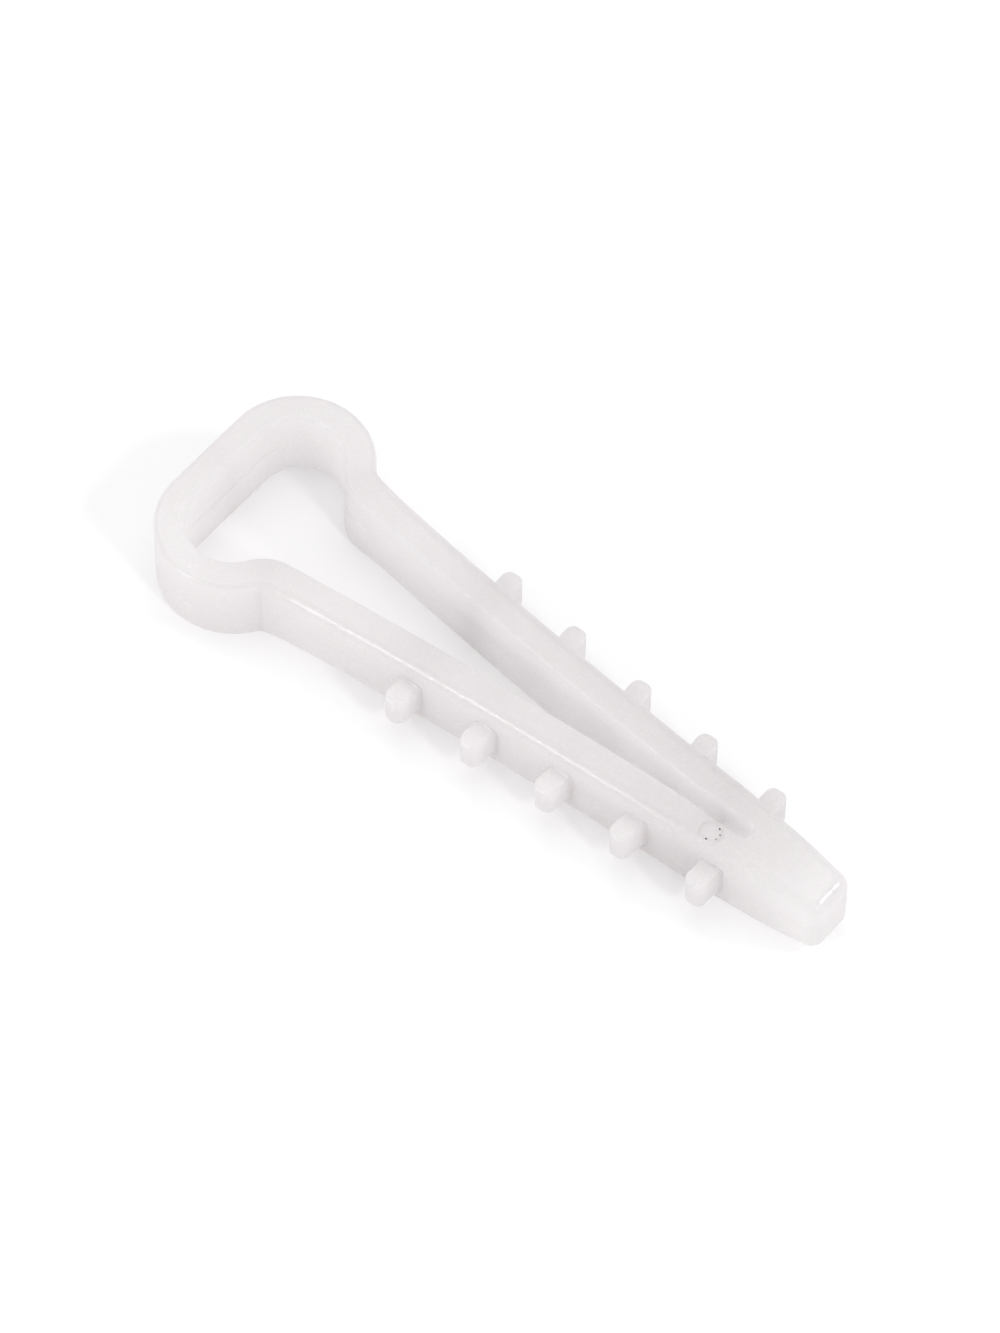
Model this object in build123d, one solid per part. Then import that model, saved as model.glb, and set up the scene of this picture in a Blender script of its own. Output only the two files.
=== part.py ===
"""One-piece nylon wall anchor that clips a flat cable: a closed cable loop, two ribbed legs and a nose.

All lengths are in millimetres and all angles in degrees.
The part lies flat: +X runs along its length towards the nose tip, +Y is the left leg's side and
+Z is the moulding's height. The origin is under the middle of the bounding box, on the underside.

The moulding bends at three places on each side: where the leg leaves the nose, at the neck between
leg and cable loop, and at the loop's corner. Each place is a knuckle in a socket, so every zone
between two bends is a solid of its own.
"""
from build123d import *
from math import atan2, degrees
import os

# Driving dimensions
LENGTH = 45.0
HEIGHT = 4.95

STRAP_THICKNESS = 1.75
BACK_WALL_STRAIGHT = 5.45
CORNER_RADIUS = 3.55
NECK_RADIUS = 1.9
NECK_TURN_IN = 56.0

LEG_THICKNESS = 2.0
LEG_BOW_RADIUS = 360.0
LEG_LENGTH = 28.5
LEG_END_ANGLE = 7.4

LEG_OUTER_ROUND = 0.8
EDGE_ROUND = 0.2

TIP_WIDTH = 3.1
TIP_HEIGHT = 4.0
TIP_TAPER_LENGTH = 4.0
TIP_ROUND = 0.7

RIB_THICKNESS = 1.3
RIB_PROJECTION = 1.7
RIB_HEIGHT = 2.1
RIB_PITCH = 5.0
RIB_LEAN = 8.0
RIB_CORNER_ROUND = 0.35
RIB_ROOT_DEPTH = 0.6
NOSE_RIB_FROM_TIP = 6.8
LEG_RIBS = 4

ROOT_HINGE_FROM_SLOT = 1.75
NECK_HINGE_FROM_NECK = 3.3
CORNER_HINGE_TURN = 45.0
KNUCKLE_RADIUS = 1.15
KNUCKLE_CLEARANCE = 0.05
BACK_JOINT_GAP = 0.06
CUTTER_WIDTH = 2.8
SPLINE_SPANS = 4
GENTLE_RADIUS = 100.0

# Derived dimensions
TIP_X = LENGTH / 2
BACK_WALL_X = -LENGTH / 2 + STRAP_THICKNESS / 2
LEG_MAIN_LENGTH = LEG_LENGTH - ROOT_HINGE_FROM_SLOT - NECK_HINGE_FROM_NECK


def arc_angle(length, radius):
    """Angle that an arc of this length and radius turns through."""
    return degrees(length / radius)


def centreline():
    """Centreline of the left half, from the middle of the back wall round to the slot end."""
    wall = Line((BACK_WALL_X, 0), (BACK_WALL_X, BACK_WALL_STRAIGHT / 2))
    corner_back = JernArc(wall @ 1, wall % 1, CORNER_RADIUS, -CORNER_HINGE_TURN)
    corner_front_turn = 90 + NECK_TURN_IN - CORNER_HINGE_TURN
    corner_front = JernArc(corner_back @ 1, corner_back % 1, CORNER_RADIUS, -corner_front_turn)
    neck = JernArc(corner_front @ 1, corner_front % 1, NECK_RADIUS, NECK_TURN_IN - LEG_END_ANGLE)
    tail_turn = arc_angle(NECK_HINGE_FROM_NECK, LEG_BOW_RADIUS)
    leg_tail = JernArc(neck @ 1, neck % 1, LEG_BOW_RADIUS, tail_turn)
    leg_turn = arc_angle(LEG_MAIN_LENGTH, LEG_BOW_RADIUS)
    leg_main = JernArc(leg_tail @ 1, leg_tail % 1, LEG_BOW_RADIUS, leg_turn)
    root_turn = arc_angle(ROOT_HINGE_FROM_SLOT, LEG_BOW_RADIUS)
    leg_root = JernArc(leg_main @ 1, leg_main % 1, LEG_BOW_RADIUS, root_turn)
    return wall, corner_back, corner_front, neck, leg_tail, leg_main, leg_root


WALL, CORNER_BACK, CORNER_FRONT, NECK, LEG_TAIL, LEG_MAIN, LEG_ROOT = centreline()
ROOT_HINGE = LEG_MAIN @ 1
NECK_HINGE = LEG_MAIN @ 0
CORNER_HINGE = CORNER_BACK @ 1


def side_point(path, position, offset):
    """Point beside a path; a positive offset is on the path's left."""
    point = path @ position
    tangent = path % position
    return Vector(point.X - tangent.Y * offset, point.Y + tangent.X * offset)


def side_edge(path, offset):
    """Edge that follows one side of a path at an even offset; the gently bowed legs get a spline."""
    if isinstance(path, Line):
        return Line(side_point(path, 0, offset), side_point(path, 1, offset))
    if path.radius > GENTLE_RADIUS:
        points = [side_point(path, step / SPLINE_SPANS, offset) for step in range(SPLINE_SPANS + 1)]
        return Spline(*points, tangents=[path % 0, path % 1])
    return ThreePointArc(*[side_point(path, position, offset) for position in (0, 0.5, 1)])


def band(paths, width):
    """Plan face of a band of even width along a run of paths."""
    left = [side_edge(path, width / 2) for path in paths]
    right = [side_edge(path, -width / 2) for path in paths]
    caps = [Line(left[0] @ 0, right[0] @ 0), Line(left[-1] @ 1, right[-1] @ 1)]
    return make_face(left + right + caps)


def disc(centre, radius):
    """Upright cylinder through the whole height."""
    return Pos(centre.X, centre.Y, 0) * Cylinder(radius, HEIGHT, align=(Align.CENTER, Align.CENTER, Align.MIN))


def long_edges(solid, paths, side_offset):
    """Top and bottom edges that follow the given side of the paths."""
    found = ShapeList()
    for path in paths:
        target = side_point(path, 0.5, side_offset)
        for z in (0, HEIGHT):
            found.append(solid.edges().sort_by_distance((target.X, target.Y, z))[0])
    return found


def rounded_leg():
    """Leg blank from the neck to the slot end, with its heavily rounded outer edges."""
    paths = (LEG_TAIL, LEG_MAIN, LEG_ROOT)
    blank = extrude(band(paths, LEG_THICKNESS), HEIGHT)
    blank = fillet(long_edges(blank, paths, LEG_THICKNESS / 2), LEG_OUTER_ROUND)
    return fillet(long_edges(blank, paths, -LEG_THICKNESS / 2), EDGE_ROUND)


def rounded_head():
    """Half of the cable loop, from the middle of its back wall to the neck."""
    paths = (WALL, CORNER_BACK, CORNER_FRONT, NECK)
    blank = extrude(band(paths, STRAP_THICKNESS), HEIGHT)
    blank = fillet(long_edges(blank, paths, STRAP_THICKNESS / 2), EDGE_ROUND)
    return fillet(long_edges(blank, paths, -STRAP_THICKNESS / 2), EDGE_ROUND)


LEG_BLANK = rounded_leg()
HEAD_BLANK = rounded_head()


def zone(blank, paths, hinge):
    """The part of a blank along the given stretches, with a round end that turns in its neighbour."""
    return blank & (extrude(band(paths, CUTTER_WIDTH), HEIGHT) + disc(hinge, KNUCKLE_RADIUS))


def socket(hinge):
    """Cutter for the socket that a neighbour's round end turns in."""
    return disc(hinge, KNUCKLE_RADIUS + KNUCKLE_CLEARANCE)


def make_leg():
    """Left leg between the root bend and the neck bend."""
    return zone(LEG_BLANK, [LEG_MAIN], ROOT_HINGE) - socket(NECK_HINGE)


def make_shoulder():
    """Left shoulder: the end of the leg, the neck and the front of the loop's corner."""
    tail = zone(LEG_BLANK, [LEG_TAIL], NECK_HINGE)
    front = HEAD_BLANK & extrude(band([CORNER_FRONT, NECK], CUTTER_WIDTH), HEIGHT)
    return tail + (front - socket(CORNER_HINGE))


def make_saddle():
    """Left half of the back wall, with the back of the loop's corner."""
    return zone(HEAD_BLANK, [WALL, CORNER_BACK], CORNER_HINGE) - Box(LENGTH, BACK_JOINT_GAP, 3 * HEIGHT)


def both_sides(shape):
    """A left-hand shape together with its mirror image."""
    return shape + mirror(shape, Plane.XZ)


def make_nose():
    """Solid tapered nose with the two leg roots and the round end of the slot between them."""
    outer = side_edge(LEG_ROOT, LEG_THICKNESS / 2)
    inner = side_edge(LEG_ROOT, -LEG_THICKNESS / 2)
    flank = Line(outer @ 1, (TIP_X, TIP_WIDTH / 2))
    left = [flank, outer, Line(outer @ 0, inner @ 0), inner]
    right = [mirror(edge, Plane.XZ) for edge in left]
    slot_end = inner @ 1
    apex = ThreePointArc(slot_end, (slot_end.X + slot_end.Y, 0), (slot_end.X, -slot_end.Y))
    tip = Line((TIP_X, TIP_WIDTH / 2), (TIP_X, -TIP_WIDTH / 2))
    plan = make_face(left + right + [apex, tip])

    taper_x = TIP_X - TIP_TAPER_LENGTH
    tip_bottom = (HEIGHT - TIP_HEIGHT) / 2
    back_x = NECK_HINGE.X
    lower = [(back_x, 0), (taper_x, 0), (TIP_X, tip_bottom)]
    upper = [(x, HEIGHT - z) for x, z in reversed(lower)]
    side = Plane.XZ * make_face(Polyline(lower + upper, close=True))
    blank = extrude(plan, HEIGHT) & extrude(side, LENGTH / 2, both=True)

    targets = [(TIP_X, 0, tip_bottom), (TIP_X, 0, HEIGHT - tip_bottom)]
    for y_sign in (1, -1):
        targets.append((TIP_X, y_sign * TIP_WIDTH / 2, HEIGHT / 2))
        for z_sign in (-1, 1):
            for point, half_height in (
                (outer @ 0.5, HEIGHT / 2),
                (flank @ 0.3, HEIGHT / 2),
                (flank @ (1 - TIP_TAPER_LENGTH / 2 / (TIP_X - slot_end.X)), (HEIGHT + TIP_HEIGHT) / 4),
            ):
                targets.append((point.X, y_sign * point.Y, HEIGHT / 2 + z_sign * half_height))
    edges = ShapeList(blank.edges().sort_by_distance(target)[0] for target in targets)
    blank = fillet(edges, TIP_ROUND)
    return blank - both_sides(socket(ROOT_HINGE))


def rib(base, outward_angle):
    """Grip rib that stands out of a leg's outer side, with rounded outer corners."""
    length = RIB_PROJECTION + RIB_ROOT_DEPTH
    solid = Box(length, RIB_THICKNESS, RIB_HEIGHT, align=(Align.MIN, Align.CENTER, Align.CENTER))
    end_edges = solid.faces().sort_by(Axis.X)[-1].edges()
    solid = fillet(end_edges, RIB_CORNER_ROUND)
    placed = Rot(0, 0, outward_angle) * Pos(-RIB_ROOT_DEPTH, 0, 0) * solid
    return Pos(base.X, base.Y, HEIGHT / 2) * placed


def outward_angle(path, position):
    """Direction of a rib: square to the leg, leaning back towards the cable loop."""
    tangent = path % position
    return degrees(atan2(tangent.Y, tangent.X)) + 90 + RIB_LEAN


def make_leg_ribs():
    """Ribs of the left leg."""
    ribs = []
    for number in range(1, LEG_RIBS + 1):
        from_tip = NOSE_RIB_FROM_TIP + number * RIB_PITCH
        from_slot = from_tip - (TIP_X - (LEG_ROOT @ 1).X)
        position = 1 - (from_slot - ROOT_HINGE_FROM_SLOT) / LEG_MAIN_LENGTH
        base = side_point(LEG_MAIN, position, LEG_THICKNESS / 2)
        ribs.append(rib(base, outward_angle(LEG_MAIN, position)))
    return ribs


def make_nose_rib():
    """Left rib of the nose, beside the slot end."""
    slot_end = side_point(LEG_ROOT, 1, LEG_THICKNESS / 2)
    share = NOSE_RIB_FROM_TIP / (TIP_X - slot_end.X)
    base = Vector(TIP_X - NOSE_RIB_FROM_TIP, TIP_WIDTH / 2 + (slot_end.Y - TIP_WIDTH / 2) * share)
    return rib(base, outward_angle(LEG_ROOT, 1))


def trimmed(ribs, body):
    """Ribs cut flush to the body that they stand on."""
    return Compound([(item - body).solids().sort_by(SortBy.VOLUME)[-1] for item in ribs])


def build():
    """Every sub-part by name."""
    nose = make_nose()
    leg = make_leg()
    shoulder = make_shoulder()
    saddle = make_saddle()
    leg_ribs = trimmed(make_leg_ribs(), leg)
    nose_rib = make_nose_rib()
    return {
        "nose": nose,
        "nose_ribs": trimmed([nose_rib, mirror(nose_rib, Plane.XZ)], nose),
        "left_leg": leg,
        "left_ribs": leg_ribs,
        "left_shoulder": shoulder,
        "left_saddle": saddle,
        "right_leg": mirror(leg, Plane.XZ),
        "right_ribs": mirror(leg_ribs, Plane.XZ),
        "right_shoulder": mirror(shoulder, Plane.XZ),
        "right_saddle": mirror(saddle, Plane.XZ),
    }


os.makedirs("parts", exist_ok=True)
for name, shape in build().items():
    export_step(shape, os.path.join("parts", name + ".step"))
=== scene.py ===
"""Looks of a one-piece nylon wall anchor that clips a flat cable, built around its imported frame.

The real thing is one moulding that bends at six places. Its skin is made of stretches that each cross one
bend and meet edge to edge where the moulding stays stiff. A stretch is a run of closed sections, each
drawn between a point of the outer wall and a point of the inner wall.
All lengths in this file are in metres.
"""
from math import acos, cos, pi, radians, sin, sqrt

import bmesh
import bpy
from mathutils import Matrix, Vector


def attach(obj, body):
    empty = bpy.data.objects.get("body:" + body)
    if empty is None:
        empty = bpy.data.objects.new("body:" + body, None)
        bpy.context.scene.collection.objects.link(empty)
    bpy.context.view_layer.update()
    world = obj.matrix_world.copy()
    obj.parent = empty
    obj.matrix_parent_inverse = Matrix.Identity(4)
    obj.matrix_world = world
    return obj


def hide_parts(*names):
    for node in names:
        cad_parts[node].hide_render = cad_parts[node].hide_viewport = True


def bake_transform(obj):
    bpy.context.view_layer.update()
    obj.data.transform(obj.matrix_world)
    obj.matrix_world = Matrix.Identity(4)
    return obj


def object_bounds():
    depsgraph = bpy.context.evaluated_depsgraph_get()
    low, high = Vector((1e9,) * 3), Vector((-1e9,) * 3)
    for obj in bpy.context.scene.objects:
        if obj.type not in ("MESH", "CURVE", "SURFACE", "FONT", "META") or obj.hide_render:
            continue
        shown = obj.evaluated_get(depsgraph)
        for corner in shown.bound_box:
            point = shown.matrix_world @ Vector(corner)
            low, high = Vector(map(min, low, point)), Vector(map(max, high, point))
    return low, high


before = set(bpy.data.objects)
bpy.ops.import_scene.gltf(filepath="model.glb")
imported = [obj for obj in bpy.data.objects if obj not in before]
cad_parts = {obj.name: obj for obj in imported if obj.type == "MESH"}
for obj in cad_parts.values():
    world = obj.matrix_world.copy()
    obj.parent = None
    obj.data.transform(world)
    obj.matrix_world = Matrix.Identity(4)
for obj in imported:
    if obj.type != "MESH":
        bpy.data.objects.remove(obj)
cad_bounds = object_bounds()

MM = 0.001

# The moulding
TIP_X = cad_bounds[1][0]
HEIGHT = cad_bounds[1][2]
BACK_X = cad_bounds[0][0]
STRAP = 1.75 * MM
BACK_STRAIGHT = 5.45 * MM
CORNER_RADIUS = 3.55 * MM
NECK_RADIUS = 1.9 * MM
NECK_TURN = radians(56)
LEG = 2.0 * MM
LEG_BOW = 360 * MM
LEG_LENGTH = 28.5 * MM
LEG_END_ANGLE = radians(7.4)
LEG_ROUND = 0.8 * MM
HEAD_ROUND = 0.34 * MM
INNER_ROUND = 0.17 * MM
TIP_WIDTH = 3.1 * MM
TIP_HEIGHT = 4.0 * MM
TIP_TAPER = 4.0 * MM
TIP_CORNER = 0.85 * MM
TIP_ROUND = 0.8 * MM
TIP_SOFT = 1.2 * MM
ROUND_RUN = 2.0 * MM

# Small features
PARTING_HEIGHT = 0.022 * MM
PARTING_WIDTH = 0.07 * MM
LEDGE_DEPTH = 0.09 * MM
LEDGE_RISE = 0.14 * MM
NECK_SWELL = 0.14 * MM
NECK_SWELL_REACH = 2.6 * MM
SLOT_HALF = 0.5 * MM
SLOT_EASE = 4.0 * MM
SLOT_TOP_END = 16.5 * MM
SLOT_END_ROUND = 0.45 * MM
GROOVE_DEPTH = 1.1 * MM
MARK_RADIUS = 0.62 * MM
MARK_WIDTH = 0.09 * MM
MARK_RISE = 0.035 * MM
SPECK = 0.042 * MM
SPECK_RING = 0.5 * MM
SPECK_ANGLES = (-1.5, -0.35, 0.35, 1.1)
SPECK_SHAPE = (1.2, 0.9, 0.5, 1.0)
SPECK_LIFT = 0.2
SPECK_VARIATION = 0.3
SPECK_TURN = 2.3
MARK_CENTRE = Vector((14.95 * MM, -1.32 * MM))

# Ribs
RIB_THICKNESS = 1.3 * MM
RIB_PROJECTION = 1.7 * MM
RIB_HEIGHT = 2.1 * MM
RIB_PITCH = 5.0 * MM
RIB_LEAN = radians(8)
RIB_ROUND = 0.26 * MM
RIB_PLAN_ROUND = 0.6 * MM
RIB_SIDE_ROUND = 0.16 * MM
RIB_LEAST_ROUND = 0.02 * MM
RIB_FLARE = 0.16 * MM
RIB_ROOT = 0.35 * MM
FIRST_RIB = 6.8 * MM
LEG_RIBS = 4

# Bends and seams
ROOT_SEAM_BACK = 0.25 * MM
ROOT_HINGE_BACK = 1.75 * MM
NECK_HINGE_PAST = 3.3 * MM

# Material and studio
TRANSLUCENCY = 0.72
FLOOR = 0.7
FLOOR_GAP = 0.01 * MM

# Mesh fineness
STEP = 0.22 * MM
ARC_STEPS = 7
TOP_STEPS = 10
NOSE_TOP_STEPS = 30
WALL_ROWS = 6
NOSE_STATIONS = 90
RIB_ARC = 8
RIB_FLARE_STEPS = 4
MARK_AROUND = 64
MARK_OVER = 8
WELD = 0.002 * MM


def lerp(a, b, t):
    """Value between a and b."""
    return a + (b - a) * t


def smooth(t):
    """Smooth step from 0 to 1."""
    t = min(max(t, 0.0), 1.0)
    return t * t * (3 - 2 * t)


# Centreline of the left half, as (length, curvature) from the middle of the back wall to the slot end
RUNS = [
    (BACK_STRAIGHT / 2, 0.0),
    (CORNER_RADIUS * pi / 4, -1 / CORNER_RADIUS),
    (CORNER_RADIUS * (pi / 4 + NECK_TURN), -1 / CORNER_RADIUS),
    (NECK_RADIUS * (NECK_TURN - LEG_END_ANGLE), 1 / NECK_RADIUS),
    (LEG_LENGTH, 1 / LEG_BOW),
]
CORNER_MIDDLE = RUNS[0][0] + RUNS[1][0]
NECK_START = CORNER_MIDDLE + RUNS[2][0]
LEG_START = NECK_START + RUNS[3][0]
SLOT_END = LEG_START + LEG_LENGTH


def locate(distance):
    """Centreline point and heading at a distance from the middle of the back wall."""
    point = Vector((BACK_X + STRAP / 2, 0))
    heading = pi / 2
    for length, curvature in RUNS:
        part = min(distance, length)
        if curvature:
            ahead = heading + curvature * part
            point = point + Vector((sin(ahead) - sin(heading), cos(heading) - cos(ahead))) / curvature
            heading = ahead
        else:
            point = point + Vector((cos(heading), sin(heading))) * part
        distance -= part
        if distance <= 0:
            break
    return point, heading


def strap_section(distance):
    """Section of the strap or leg: points, normals and roundings of both walls, and the inner ledge."""
    point, heading = locate(distance)
    outward = Vector((-sin(heading), cos(heading)))
    leg_share = smooth((distance - NECK_START) / (LEG_START - NECK_START))
    width = lerp(STRAP, LEG, leg_share)
    round_share = smooth((distance - NECK_START) / (LEG_START - NECK_START + ROUND_RUN))
    outer_round = lerp(HEAD_ROUND, LEG_ROUND, round_share)
    ledge = LEDGE_DEPTH * (1 - smooth((distance - RUNS[0][0]) / RUNS[1][0]))
    ledge += NECK_SWELL * (1 - smooth(abs(distance - LEG_START) / NECK_SWELL_REACH))
    inner = point - outward * width / 2
    near_end = smooth(1 - (SLOT_END - distance) / SLOT_EASE)
    inner.y = lerp(inner.y, max(inner.y, SLOT_HALF), near_end)
    return {
        "outer": point + outward * width / 2,
        "outer_normal": outward,
        "inner": inner,
        "inner_normal": -outward,
        "outer_round": outer_round,
        "inner_round": INNER_ROUND,
        "ledge": ledge,
        "groove": Vector((0, 0)),
    }


def nose_outline():
    """Outer outline of the left half of the nose, from the slot end to the middle of the tip."""
    section = strap_section(SLOT_END)
    start = section["outer"]
    corner = Vector((TIP_X, TIP_WIDTH / 2))
    along = (corner - start).normalized()
    turn = acos(along.dot(Vector((0, -1))))
    cut = TIP_CORNER * sin(turn / 2) / cos(turn / 2)
    arc_start = corner - along * cut
    centre = arc_start + Vector((along.y, -along.x)) * TIP_CORNER
    return start, along, arc_start, centre, turn


def nose_outer(share):
    """Point and normal on the nose's outer outline; share runs from 0 at the slot end to 1 at the tip."""
    start, along, arc_start, centre, turn = nose_outline()
    flank = (arc_start - start).length
    arc = TIP_CORNER * turn
    face = centre.y
    distance = share * (flank + arc + face)
    normal = Vector((-along.y, along.x))
    if distance <= flank:
        return start + along * distance, normal
    if distance <= flank + arc:
        normal = turned(normal, -(distance - flank) / TIP_CORNER)
        return centre + normal * TIP_CORNER, normal
    return Vector((TIP_X, max(centre.y - (distance - flank - arc), 0.0))), Vector((1, 0))


def nose_section(share):
    """Section of the nose's left half, fanned out from the squarish slot end to the outer outline."""
    outer, outer_normal = nose_outer(share)
    base = strap_section(SLOT_END)
    radius = base["inner"].y
    length = SLOT_TOP_END - base["inner"].x
    angle = lerp(pi / 2, 0, share)
    run_out = length * sqrt(max(0.0, cos(angle)))
    inner = Vector((base["inner"].x + run_out, radius * sqrt(max(0.0, sin(angle)))))
    inward = Vector((max(0.0, cos(angle)) ** 1.5 / length, max(0.0, sin(angle)) ** 1.5 / radius)).normalized()
    start_normal = base["outer_normal"]
    blend = smooth(share * 8)
    normal = start_normal.lerp(outer_normal, blend).normalized()
    return {
        "outer": outer,
        "outer_normal": normal,
        "inner": inner,
        "inner_normal": -inward,
        "outer_round": lerp(LEG_ROUND, TIP_ROUND, smooth(share * 2)),
        "inner_round": lerp(INNER_ROUND, SLOT_END_ROUND, smooth(cos(angle))),
        "ledge": 0.0,
        "groove": Vector((-run_out, 0)),
    }


def heights(x):
    """Underside and top of the moulding at a place along its length."""
    fall = (HEIGHT - TIP_HEIGHT) / 2
    start = TIP_X - TIP_TAPER
    past = x - start
    if past > TIP_SOFT:
        drop = (past - TIP_SOFT / 2) / TIP_TAPER
    elif past > 0:
        drop = past * past / (2 * TIP_SOFT) / TIP_TAPER
    else:
        drop = 0.0
    return drop * fall, HEIGHT - drop * fall


def parting(z):
    """How far the parting line stands out of a wall at a height."""
    away = abs(z - HEIGHT / 2) / PARTING_WIDTH
    return PARTING_HEIGHT * max(0.0, 1 - away)


def wall_heights(low, high):
    """Heights of the rows up a wall, closer together at the parting line."""
    middle = HEIGHT / 2
    offsets = [share * PARTING_WIDTH for share in (-2, -1, -0.3, 0.3, 1, 2)]
    lower = [lerp(low, middle + offsets[0], i / WALL_ROWS) for i in range(1, WALL_ROWS)]
    upper = [lerp(middle + offsets[-1], high, i / WALL_ROWS) for i in range(1, WALL_ROWS)]
    return lower + [middle + offset for offset in offsets] + upper


def ring(section, top_steps):
    """Closed loop of points round one section, from the outer wall's foot up and over to the inner wall."""
    points = []

    def put(plan, z):
        points.append(Vector((plan.x, plan.y, z)))

    def corner(edge, normal, radius, top, rising):
        for i in range(ARC_STEPS + 1):
            angle = (i if rising else ARC_STEPS - i) / ARC_STEPS * pi / 2
            plan = edge - normal * radius * (1 - cos(angle))
            low, high = heights(plan.x)
            put(plan, high - radius * (1 - sin(angle)) if top else low + radius * (1 - sin(angle)))

    def wall(edge, normal, radius, upwards, ledge, groove):
        low, high = heights(edge.x)
        rows = wall_heights(low + radius, high - radius)
        if not upwards:
            rows = rows[::-1]
        for z in rows:
            step = ledge * (1 - smooth((z - HEIGHT / 2) / LEDGE_RISE + 0.5))
            depth = min(1.0, (HEIGHT / 2 - radius - abs(z - HEIGHT / 2)) / GROOVE_DEPTH)
            line = parting(z) * max(0.0, 1 - ledge / LEDGE_DEPTH)
            put(edge + normal * (line + step) + groove * max(0.0, depth), z)

    def across(start, end, top):
        for i in range(1, top_steps):
            plan = start.lerp(end, i / top_steps)
            low, high = heights(plan.x)
            put(plan, high if top else low)

    outer, out_normal, out_round = section["outer"], section["outer_normal"], section["outer_round"]
    inner, in_normal, in_round = section["inner"], section["inner_normal"], section["inner_round"]
    ledge = section["ledge"]
    inner_low = inner + in_normal * ledge
    corner(outer, out_normal, out_round, False, False)
    wall(outer, out_normal, out_round, True, 0.0, Vector((0, 0)))
    corner(outer, out_normal, out_round, True, True)
    across(outer - out_normal * out_round, inner - in_normal * in_round, True)
    corner(inner, in_normal, in_round, True, False)
    wall(inner, in_normal, in_round, False, ledge, section["groove"])
    corner(inner_low, in_normal, in_round, False, True)
    across(inner_low - in_normal * in_round, outer - out_normal * out_round, False)
    return points


def link(name, mesh):
    """Mesh as an object in the scene."""
    piece = bpy.data.objects.new(name, mesh)
    bpy.context.scene.collection.objects.link(piece)
    return piece


def add_run(bm, rings, side, caps):
    """Joins a run of rings into a skin on one side of the part, closed at the ends that caps names."""
    rows = [[bm.verts.new((p.x, p.y * side, p.z)) for p in points] for points in rings]
    count = len(rows[0])
    for near, far in zip(rows, rows[1:]):
        for i in range(count):
            j = (i + 1) % count
            corners = [near[i], near[j], far[j], far[i]]
            bm.faces.new(corners if side > 0 else corners[::-1])
    for at_start, wanted in zip((True, False), caps):
        if wanted:
            row = rows[0] if at_start else rows[-1]
            bm.faces.new(row[::-1] if at_start == (side > 0) else row)
            for i in range(count):
                bm.edges.get((row[i], row[(i + 1) % count])).smooth = False


def finish_mesh(name, bm):
    """Turns built geometry into a smooth-shaded object with outward faces."""
    bmesh.ops.recalc_face_normals(bm, faces=bm.faces)
    mesh = bpy.data.meshes.new(name)
    bm.to_mesh(mesh)
    bm.free()
    for polygon in mesh.polygons:
        polygon.use_smooth = True
    return link(name, mesh)


def distances(start, end):
    """Even steps along the centreline from start to end."""
    count = max(2, round(abs(end - start) / STEP))
    return [lerp(start, end, i / count) for i in range(count + 1)]


def strap_piece(name, start, end, side):
    """Skin of a stretch of leg or strap."""
    bm = bmesh.new()
    rings = [ring(strap_section(distance), TOP_STEPS) for distance in distances(start, end)]
    add_run(bm, rings, side, (True, True))
    return finish_mesh(name, bm)


def nose_piece(name, start):
    """Skin of the nose with both leg roots, from the seam in the roots to the tip."""
    bm = bmesh.new()
    shares = [i / NOSE_STATIONS for i in range(1, NOSE_STATIONS + 1)]
    for side in (1, -1):
        rings = [ring(strap_section(distance), NOSE_TOP_STEPS) for distance in distances(start, SLOT_END)]
        rings += [ring(nose_section(share), NOSE_TOP_STEPS) for share in shares]
        add_run(bm, rings, side, (True, False))
    bmesh.ops.remove_doubles(bm, verts=bm.verts, dist=WELD)
    return finish_mesh(name, bm)


def rounding(reach, radius):
    """How far a rib has drawn in at a reach, on the way to its rounded end."""
    past = max(0.0, reach - (RIB_PROJECTION - radius))
    return radius - sqrt(max(0.0, radius ** 2 - past ** 2))


def rib_rings(base, direction):
    """Sections of a rib from inside the wall to its rounded end."""
    across = Vector((-direction.y, direction.x))
    half_width, half_height = RIB_THICKNESS / 2, RIB_HEIGHT / 2
    places = [(-RIB_ROOT, RIB_FLARE, RIB_FLARE)]
    for i in range(RIB_FLARE_STEPS + 1):
        rise = i / RIB_FLARE_STEPS * RIB_FLARE
        grow = RIB_FLARE - sqrt(max(0.0, RIB_FLARE ** 2 - (RIB_FLARE - rise) ** 2))
        places.append((rise, grow, grow))
    for i in range(1, 2 * RIB_ARC):
        reach = lerp(RIB_FLARE, RIB_PROJECTION, sin(i / (2 * RIB_ARC) * pi / 2))
        places.append((reach, -rounding(reach, RIB_PLAN_ROUND), -rounding(reach, RIB_ROUND)))
    places.append((RIB_PROJECTION, -RIB_PLAN_ROUND, -RIB_ROUND))
    rings = []
    for reach, wider, taller in places:
        wide, tall = half_width + wider, half_height + taller
        radius = max(RIB_LEAST_ROUND, min(RIB_SIDE_ROUND + taller, wide * 0.98))
        centre = base + direction * reach
        points = []
        for quarter in range(4):
            sx, sz = ((1, 1), (-1, 1), (-1, -1), (1, -1))[quarter]
            for i in range(RIB_ARC + 1):
                angle = quarter * pi / 2 + i / RIB_ARC * pi / 2
                u = sx * (wide - radius) + radius * cos(angle)
                v = sz * (tall - radius) + radius * sin(angle)
                plan = centre + across * u
                points.append(Vector((plan.x, plan.y, HEIGHT / 2 + v)))
        rings.append(points)
    return rings


def turned(direction, angle):
    """Plan direction turned anticlockwise by an angle."""
    across = direction.x * cos(angle) - direction.y * sin(angle)
    along = direction.x * sin(angle) + direction.y * cos(angle)
    return Vector((across, along))


def leg_distance(from_tip):
    """Distance along the centreline of the leg's outer wall at a distance from the tip."""
    distance = SLOT_END - (from_tip - (TIP_X - locate(SLOT_END)[0].x))
    for _ in range(4):
        section = strap_section(distance)
        distance -= section["outer"].x - (TIP_X - from_tip)
    return distance


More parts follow.
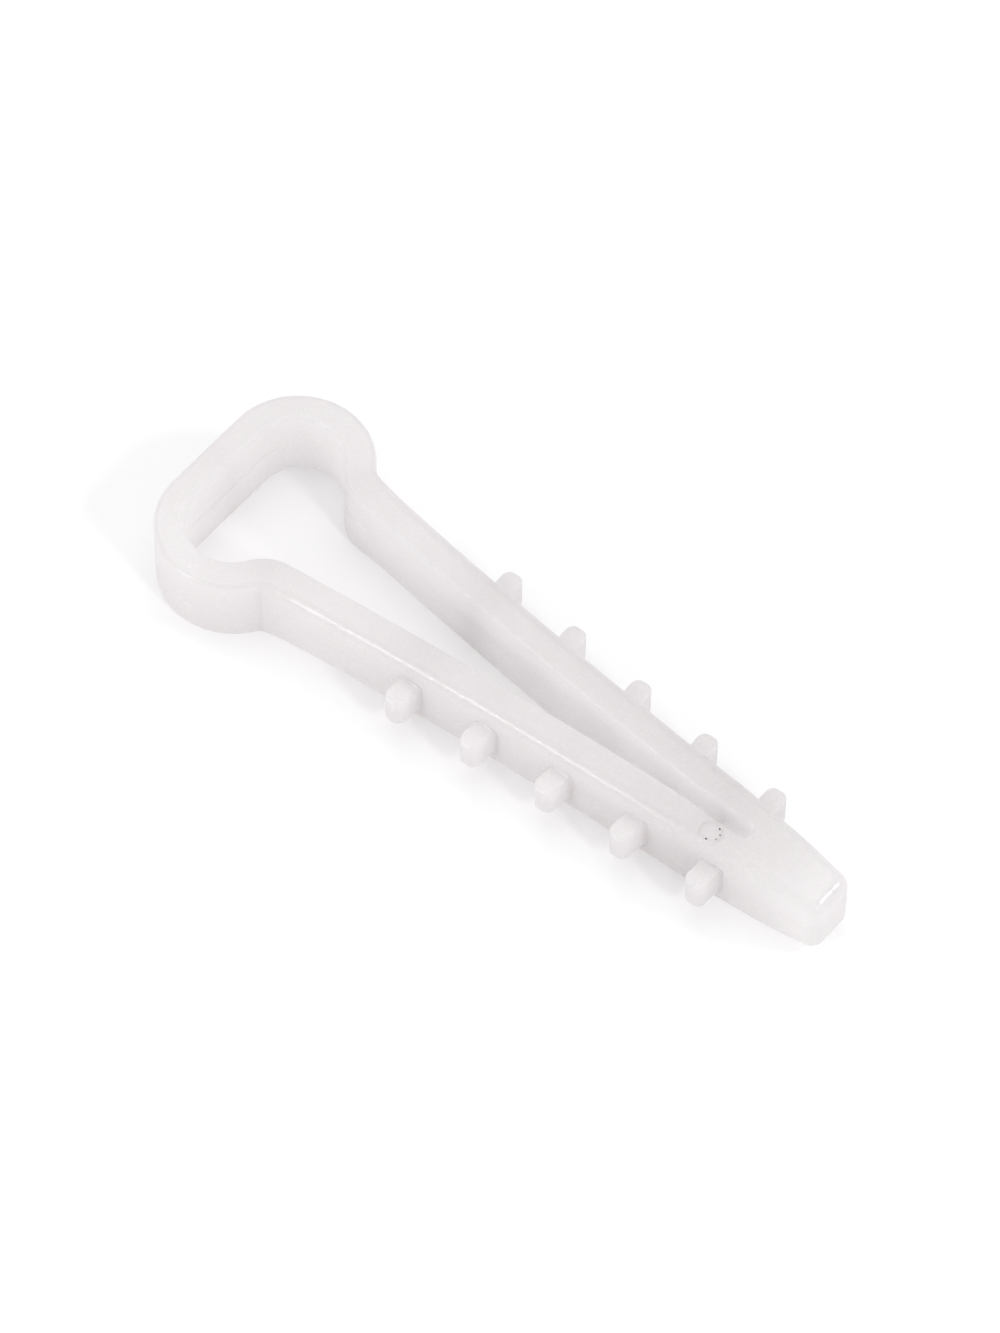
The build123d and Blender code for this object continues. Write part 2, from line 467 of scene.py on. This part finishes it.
def rib_places(on_nose):
    """Base point and direction of each rib on the left side."""
    if on_nose:
        start, along, _, _, _ = nose_outline()
        point = start + along * ((TIP_X - FIRST_RIB - start.x) / along.x)
        return [(point, turned(Vector((-along.y, along.x)), RIB_LEAN))]
    places = []
    for number in range(1, LEG_RIBS + 1):
        section = strap_section(leg_distance(FIRST_RIB + number * RIB_PITCH))
        places.append((section["outer"], turned(section["outer_normal"], RIB_LEAN)))
    return places


def rib_piece(name, places, sides):
    """Ribs as closed solids in one piece."""
    bm = bmesh.new()
    for side in sides:
        for base, direction in places:
            add_run(bm, rib_rings(base, direction), side, (True, True))
    return finish_mesh(name, bm)


def annulus_piece(name, centre, radius, width, rise, z):
    """Low round witness mark on the top face: a rounded raised ring."""
    bm = bmesh.new()
    rows = []
    for i in range(MARK_AROUND):
        angle = i / MARK_AROUND * 2 * pi
        outwards = Vector((cos(angle), sin(angle)))
        row = []
        for j in range(MARK_OVER):
            turn = j / MARK_OVER * 2 * pi
            plan = centre + outwards * (radius + width * cos(turn))
            row.append(bm.verts.new((plan.x, plan.y, z + rise * sin(turn))))
        rows.append(row)
    for i in range(MARK_AROUND):
        near, far = rows[i], rows[(i + 1) % MARK_AROUND]
        for j in range(MARK_OVER):
            k = (j + 1) % MARK_OVER
            bm.faces.new((near[j], far[j], far[k], near[k]))
    return finish_mesh(name, bm)


def speck_piece(name, centre, radius, angles):
    """Tiny burnt specks bedded in the top face, at angles round a mark."""
    bm = bmesh.new()
    for number, angle in enumerate(angles):
        plan = centre + Vector((cos(angle), sin(angle))) * radius
        size = SPECK * (1 + SPECK_VARIATION * cos(SPECK_TURN * number))
        lift = Matrix.Translation((plan.x, plan.y, HEIGHT + SPECK_LIFT * size))
        place = lift @ Matrix.Diagonal(SPECK_SHAPE)
        bmesh.ops.create_icosphere(bm, subdivisions=2, radius=size, matrix=place)
    return finish_mesh(name, bm)


class Nodes:
    """Small helper that adds shader nodes and links them."""

    def __init__(self, material):
        self.tree = material.node_tree
        self.tree.nodes.clear()

    def add(self, kind, inputs=None, **settings):
        node = self.tree.nodes.new(kind)
        for key, value in settings.items():
            setattr(node, key, value)
        for key, value in (inputs or {}).items():
            if isinstance(value, bpy.types.NodeSocket):
                self.tree.links.new(value, node.inputs[key])
            else:
                node.inputs[key].default_value = value
        return node

    def multiply(self, first, second):
        """Product of two colours."""
        node = self.add("ShaderNodeMix", data_type="RGBA", blend_type="MULTIPLY")
        sockets = [socket for socket in node.inputs if socket.type == "RGBA"]
        node.inputs[0].default_value = 1.0
        self.tree.links.new(first, sockets[0])
        self.tree.links.new(second, sockets[1])
        return next(socket for socket in node.outputs if socket.type == "RGBA")


def ramp(nodes, source, stops):
    """Colour ramp over a factor; stops are (place, colour)."""
    node = nodes.add("ShaderNodeValToRGB", {"Fac": source})
    elements = node.color_ramp.elements
    while len(elements) < len(stops):
        elements.new(0.5)
    for element, (place, colour) in zip(elements, stops):
        element.position = place
        element.color = (*colour, 1.0)
    return node.outputs["Color"]


def nylon(name):
    """Uncoloured moulded nylon: milky, with a fine mottled skin and faint flow clouds."""
    material = bpy.data.materials.new(name)
    material.use_nodes = True
    nodes = Nodes(material)
    place = nodes.add("ShaderNodeTexCoord").outputs["Object"]
    clouds = nodes.add(
        "ShaderNodeTexNoise", {"Vector": place, "Scale": 420.0, "Detail": 3.0, "Roughness": 0.55}
    ).outputs["Fac"]
    mottle = nodes.add(
        "ShaderNodeTexNoise", {"Vector": place, "Scale": 6500.0, "Detail": 3.0, "Roughness": 0.6}
    ).outputs["Fac"]
    grain = nodes.add(
        "ShaderNodeTexNoise", {"Vector": place, "Scale": 11000.0, "Detail": 2.0, "Roughness": 0.6}
    ).outputs["Fac"]
    tint = ramp(nodes, clouds, [(0.3, (0.865, 0.838, 0.838)), (0.7, (0.905, 0.888, 0.892))])
    speckle = ramp(
        nodes, mottle, [(0.34, (0.90, 0.893, 0.893)), (0.5, (0.975, 0.973, 0.973)), (0.66, (1.0, 1.0, 1.0))]
    )
    colour = nodes.multiply(tint, speckle)
    gloss = nodes.add(
        "ShaderNodeMapRange",
        {"Value": mottle, "From Min": 0.3, "From Max": 0.7, "To Min": 0.12, "To Max": 0.3},
    ).outputs["Result"]
    along = nodes.add("ShaderNodeSeparateXYZ", {"Vector": place}).outputs["X"]
    coarse = nodes.add(
        "ShaderNodeMapRange",
        {"Value": along, "From Min": 8 * MM, "From Max": 16 * MM, "To Min": 0.35, "To Max": 1.0},
    ).outputs["Result"]
    polish = nodes.add(
        "ShaderNodeMapRange",
        {"Value": along, "From Min": 19.5 * MM, "From Max": 21.5 * MM, "To Min": 1.0, "To Max": 0.3},
    ).outputs["Result"]
    coarse = nodes.add("ShaderNodeMath", {0: coarse, 1: polish}, operation="MULTIPLY").outputs["Value"]
    shine = nodes.add(
        "ShaderNodeMapRange",
        {"Value": along, "From Min": 18.5 * MM, "From Max": 21.0 * MM, "To Min": 1.0, "To Max": 0.5},
    ).outputs["Result"]
    roughness = nodes.add("ShaderNodeMath", {0: gloss, 1: shine}, operation="MULTIPLY").outputs["Value"]
    rough_bump = nodes.add(
        "ShaderNodeBump", {"Height": mottle, "Strength": coarse, "Distance": 0.06 * MM}
    ).outputs["Normal"]
    fine_bump = nodes.add(
        "ShaderNodeBump", {"Height": grain, "Strength": 0.15, "Distance": 0.008 * MM, "Normal": rough_bump}
    ).outputs["Normal"]
    shader = nodes.add(
        "ShaderNodeBsdfPrincipled",
        {"Base Color": colour, "Roughness": roughness, "Normal": fine_bump},
    )
    shader.inputs["IOR"].default_value = 1.8
    shader.inputs["Specular IOR Level"].default_value = 1.0
    glow = nodes.add(
        "ShaderNodeBsdfTranslucent", {"Color": (0.96, 0.948, 0.951, 1.0), "Normal": fine_bump}
    ).outputs["BSDF"]
    milky = nodes.add("ShaderNodeMixShader", {0: TRANSLUCENCY, 1: shader.outputs["BSDF"], 2: glow})
    output = nodes.add("ShaderNodeOutputMaterial")
    nodes.tree.links.new(milky.outputs["Shader"], output.inputs["Surface"])
    return material


def soot(name):
    """Dark burnt resin, a little uneven."""
    material = bpy.data.materials.new(name)
    material.use_nodes = True
    nodes = Nodes(material)
    place = nodes.add("ShaderNodeTexCoord").outputs["Object"]
    patches = nodes.add(
        "ShaderNodeTexNoise", {"Vector": place, "Scale": 9000.0, "Detail": 2.0}
    ).outputs["Fac"]
    colour = ramp(nodes, patches, [(0.35, (0.012, 0.010, 0.009)), (0.65, (0.04, 0.034, 0.03))])
    shader = nodes.add("ShaderNodeBsdfPrincipled", {"Base Color": colour, "Roughness": 0.6})
    output = nodes.add("ShaderNodeOutputMaterial")
    nodes.tree.links.new(shader.outputs["BSDF"], output.inputs["Surface"])
    return material


def floor_paint(name):
    """Plain pale studio floor with a barely uneven surface."""
    material = bpy.data.materials.new(name)
    material.use_nodes = True
    nodes = Nodes(material)
    place = nodes.add("ShaderNodeTexCoord").outputs["Object"]
    wash = nodes.add("ShaderNodeTexNoise", {"Vector": place, "Scale": 12.0, "Detail": 2.0}).outputs["Fac"]
    colour = ramp(nodes, wash, [(0.3, (0.975, 0.975, 0.975)), (0.7, (0.985, 0.985, 0.985))])
    shader = nodes.add("ShaderNodeBsdfPrincipled", {"Base Color": colour, "Roughness": 0.9})
    output = nodes.add("ShaderNodeOutputMaterial")
    nodes.tree.links.new(shader.outputs["BSDF"], output.inputs["Surface"])
    return material


# Pieces
ROOT_SEAM = SLOT_END - ROOT_SEAM_BACK
LEG_SEAM = leg_distance(FIRST_RIB + LEG_RIBS * RIB_PITCH)
NECK_SEAM = (NECK_START + LEG_START) / 2

skin = nylon("natural_nylon_skin")
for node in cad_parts.values():
    for slot in node.material_slots:
        slot.material = skin


def dress(piece):
    """Gives a piece the nylon."""
    piece.data.materials.append(skin)


def bend(piece):
    """Bakes a piece's placement into its mesh."""
    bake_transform(piece)


nose = nose_piece("skin_nose", ROOT_SEAM)
dress(nose)
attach(nose, "nose")
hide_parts("nose")

nose_ribs = rib_piece("skin_nose_ribs", rib_places(True), (1, -1))
dress(nose_ribs)
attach(nose_ribs, "nose")
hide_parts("nose_ribs")

mark = annulus_piece("ejector_mark", MARK_CENTRE, MARK_RADIUS, MARK_WIDTH, MARK_RISE, HEIGHT)
dress(mark)
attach(mark, "nose")

specks = speck_piece("mark_specks", MARK_CENTRE, SPECK_RING, SPECK_ANGLES)
specks.data.materials.append(soot("speck_soot"))
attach(specks, "nose")

for side, sign in (("left", 1), ("right", -1)):
    leg = strap_piece("skin_" + side + "_leg", LEG_SEAM, ROOT_SEAM, sign)
    shoulder = strap_piece("skin_" + side + "_shoulder", NECK_SEAM, LEG_SEAM, sign)
    saddle = strap_piece("skin_" + side + "_saddle", 0.0, NECK_SEAM, sign)
    ribs = rib_piece("skin_" + side + "_ribs", rib_places(False), (sign,))
    for piece, node in ((leg, "leg"), (shoulder, "shoulder"), (saddle, "saddle"), (ribs, "ribs")):
        dress(piece)
        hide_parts(side + "_" + node)
    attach(ribs, side + "_leg")
    for piece, place, distance, first, second in (
        (leg, "root", SLOT_END - ROOT_HINGE_BACK, "nose", side + "_leg"),
        (shoulder, "neck", LEG_START + NECK_HINGE_PAST, side + "_leg", side + "_shoulder"),
        (saddle, "corner", CORNER_MIDDLE, side + "_shoulder", side + "_saddle"),
    ):
        heading = pi + locate(distance)[1] * sign
        bend(piece)

# Studio
bm = bmesh.new()
for x, y in ((-FLOOR, -FLOOR), (FLOOR, -FLOOR), (FLOOR, FLOOR), (-FLOOR, FLOOR)):
    bm.verts.new((x, y, -FLOOR_GAP))
bm.faces.new(bm.verts)
floor = finish_mesh("floor", bm)
floor.data.materials.append(floor_paint("pale_floor"))


def soft_light(name, place, target, size, power):
    """Square softbox that faces a target."""
    data = bpy.data.lights.new(name, "AREA")
    data.shape = "SQUARE"
    data.size = size
    data.energy = power
    lamp = bpy.data.objects.new(name, data)
    lamp.location = place
    lamp.rotation_euler = (Vector(target) - Vector(place)).to_track_quat("-Z", "Y").to_euler()
    bpy.context.scene.collection.objects.link(lamp)


soft_light("top_softbox", (-0.10, 0.12, 0.50), (0, 0, 0), 0.4, 0.35)
soft_light("front_softbox", (-0.17, -0.42, 0.21), (0, 0, 0), 0.09, 0.5)
soft_light("side_softbox", (0.40, -0.08, 0.285), (0, 0, 0), 0.06, 0.35)
soft_light("rear_softbox", (0.30, 0.20, 0.28), (0, 0, 0), 0.06, 0.25)

world = bpy.data.worlds.new("studio")
bpy.context.scene.world = world
world.use_nodes = True
world.node_tree.nodes["Background"].inputs["Color"].default_value = (1.0, 1.0, 1.0, 1.0)
world.node_tree.nodes["Background"].inputs["Strength"].default_value = 0.785

bpy.context.scene.view_settings.view_transform = "Standard"

# Camera
AZIMUTH = radians(39.8)
ELEVATION = radians(57.6)
ROLL = radians(0.19)
CAMERA_DISTANCE = 0.4
LENS = 260.3
AIM_RIGHT = -0.79 * MM
AIM_UP = 2.63 * MM

back = Vector((sin(AZIMUTH) * cos(ELEVATION), -cos(AZIMUTH) * cos(ELEVATION), sin(ELEVATION)))
right = Vector((cos(AZIMUTH), sin(AZIMUTH), 0))
up = back.cross(right)
data = bpy.data.cameras.new("camera")
data.sensor_fit = "HORIZONTAL"
data.sensor_width = 36.0
data.lens = LENS
data.clip_start = 0.01
data.clip_end = 10.0
camera = bpy.data.objects.new("camera", data)
turn = Matrix((right, up, back)).transposed() @ Matrix.Rotation(ROLL, 3, "Z")
place = back * CAMERA_DISTANCE + right * AIM_RIGHT + up * AIM_UP
camera.matrix_world = Matrix.Translation(place) @ turn.to_4x4()
bpy.context.scene.collection.objects.link(camera)
bpy.context.scene.camera = camera
